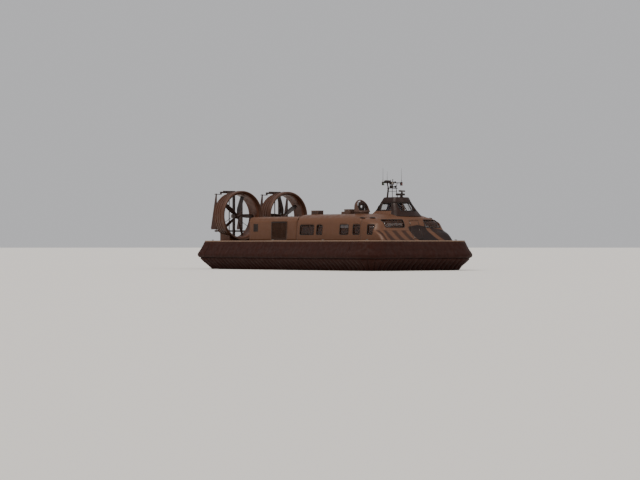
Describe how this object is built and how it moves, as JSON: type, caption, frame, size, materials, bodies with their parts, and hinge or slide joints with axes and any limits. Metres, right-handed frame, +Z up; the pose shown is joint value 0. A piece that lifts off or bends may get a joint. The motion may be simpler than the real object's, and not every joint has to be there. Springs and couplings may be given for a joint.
{
  "type": "passenger hovercraft",
  "caption": "Passenger hovercraft on an inflated skirt, with a raised control cabin, turning bow thrusters, ducted propellers aft and rudders behind them.",
  "frame": {"origin": "on the ground under the middle of the craft's length and beam", "axes": "+X towards the bow, +Y to port, +Z up"},
  "size_m": [24.26, 12.76, 8.56],
  "materials": {
    "hull_metal": "satin grey paint",
    "pale_rail": "pale matt rubber",
    "skirt_fabric": "matt rubber-coated fabric, worn and salt-streaked",
    "grey_metal": "satin",
    "pale_paint": "semi-gloss warm white paint",
    "dark_paint": "semi-gloss dark paint",
    "tinted_glass": "tinted, polished",
    "seat_fabric": "woven",
    "black_metal": "satin black",
    "engine_iron": "plain block",
    "black_plastic": "matt",
    "blade_composite": "dark painted composite"
  },
  "bodies": {
    "craft": {"hull_raft": "hull_metal", "rub_rail": "pale_rail", "skirt_bag_bow": "skirt_fabric", "skirt_bag_stern": "skirt_fabric", "skirt_bag_port": "skirt_fabric", "skirt_bag_starboard": "skirt_fabric", "skirt_fingers_bow": "skirt_fabric", "skirt_fingers_stern": "skirt_fabric", "skirt_fingers_port": "skirt_fabric", "skirt_fingers_starboard": "skirt_fabric", "landing_skid_port": "grey_metal", "landing_skid_starboard": "grey_metal", "cabin_side_port": "pale_paint", "cabin_side_starboard": "pale_paint", "cabin_front": "pale_paint", "cabin_roof": "pale_paint", "side_glazing_port": "tinted_glass", "side_glazing_starboard": "tinted_glass", "front_glazing_port": "tinted_glass", "front_glazing_starboard": "tinted_glass", "passenger_seats_port": "seat_fabric", "passenger_seats_middle": "seat_fabric", "passenger_seats_starboard": "seat_fabric", "engine_bay_walls": "pale_paint", "engine_bay_roof": "pale_paint", "bay_grille_port": "black_metal", "bay_grille_starboard": "black_metal", "engine_block_port": "engine_iron", "engine_block_starboard": "engine_iron", "roof_vent_port": "pale_paint", "roof_vent_starboard": "pale_paint", "roof_locker_port": "pale_paint", "roof_locker_starboard": "pale_paint", "thruster_seat_port": "pale_paint", "thruster_seat_starboard": "pale_paint", "control_cabin_walls": "pale_paint", "control_cabin_roof": "dark_paint", "control_cabin_glass": "tinted_glass", "crew_seats": "seat_fabric", "control_console": "black_plastic", "mast_frame": "black_metal", "radar_pedestal": "black_metal", "duct_port": "pale_paint", "duct_starboard": "pale_paint", "rudder_frame_port": "grey_metal", "rudder_frame_starboard": "grey_metal"},
    "door": {"bow_door": "dark_paint"},
    "nozzle_port": {"thruster_nozzle_port": "pale_paint"},
    "nozzle_starboard": {"thruster_nozzle_starboard": "pale_paint"},
    "scanner": {"radar_scanner": "black_plastic"},
    "screw_port": {"propeller_port": "blade_composite"},
    "screw_starboard": {"propeller_starboard": "blade_composite"},
    "rudder_so": {"rudder_starboard_outboard": "pale_paint"},
    "rudder_si": {"rudder_starboard_inboard": "pale_paint"},
    "rudder_po": {"rudder_port_outboard": "pale_paint"},
    "rudder_pi": {"rudder_port_inboard": "pale_paint"}
  },
  "joints": [
    {"name": "bow_door_swing", "type": "hinge", "parent": "craft", "child": "door", "pos_m": [11.19, -0.524, 2.53], "axis": [0.4349, 0, -0.9005], "range_deg": [0, 95]},
    {"name": "nozzle_port_turn", "type": "hinge", "parent": "craft", "child": "nozzle_port", "pos_m": [6.2, 2, 4.8], "axis": [0, 0, 1], "range_deg": [-150, 150]},
    {"name": "nozzle_starboard_turn", "type": "hinge", "parent": "craft", "child": "nozzle_starboard", "pos_m": [6.2, -2, 4.8], "axis": [0, 0, 1], "range_deg": [-150, 150]},
    {"name": "radar_spin", "type": "hinge", "parent": "craft", "child": "scanner", "pos_m": [8.93, 0, 6.55], "axis": [0, 0, 1], "continuous": true},
    {"name": "propeller_port_spin", "type": "hinge", "parent": "craft", "child": "screw_port", "pos_m": [-10.14, 2.6, 4.7], "axis": [1, 0, 0], "continuous": true},
    {"name": "propeller_starboard_spin", "type": "hinge", "parent": "craft", "child": "screw_starboard", "pos_m": [-10.14, -2.6, 4.7], "axis": [1, 0, 0], "continuous": true},
    {"name": "rudder_steer", "type": "hinge", "parent": "craft", "child": "rudder_so", "pos_m": [-11.33, -4.05, 5], "axis": [0, 0, 1], "range_deg": [-30, 30]},
    {"name": "rudder_si_steer", "type": "hinge", "parent": "craft", "child": "rudder_si", "pos_m": [-11.33, -1.15, 5], "axis": [0, 0, 1], "range_deg": [-30, 30]},
    {"name": "rudder_po_steer", "type": "hinge", "parent": "craft", "child": "rudder_po", "pos_m": [-11.33, 4.05, 5], "axis": [0, 0, 1], "range_deg": [-30, 30]},
    {"name": "rudder_pi_steer", "type": "hinge", "parent": "craft", "child": "rudder_pi", "pos_m": [-11.33, 1.15, 5], "axis": [0, 0, 1], "range_deg": [-30, 30]}
  ],
  "couplings": [
    {"joint": "rudder_si_steer", "follows": "rudder_steer", "ratio": 1},
    {"joint": "rudder_po_steer", "follows": "rudder_steer", "ratio": 1},
    {"joint": "rudder_pi_steer", "follows": "rudder_steer", "ratio": 1}
  ]
}
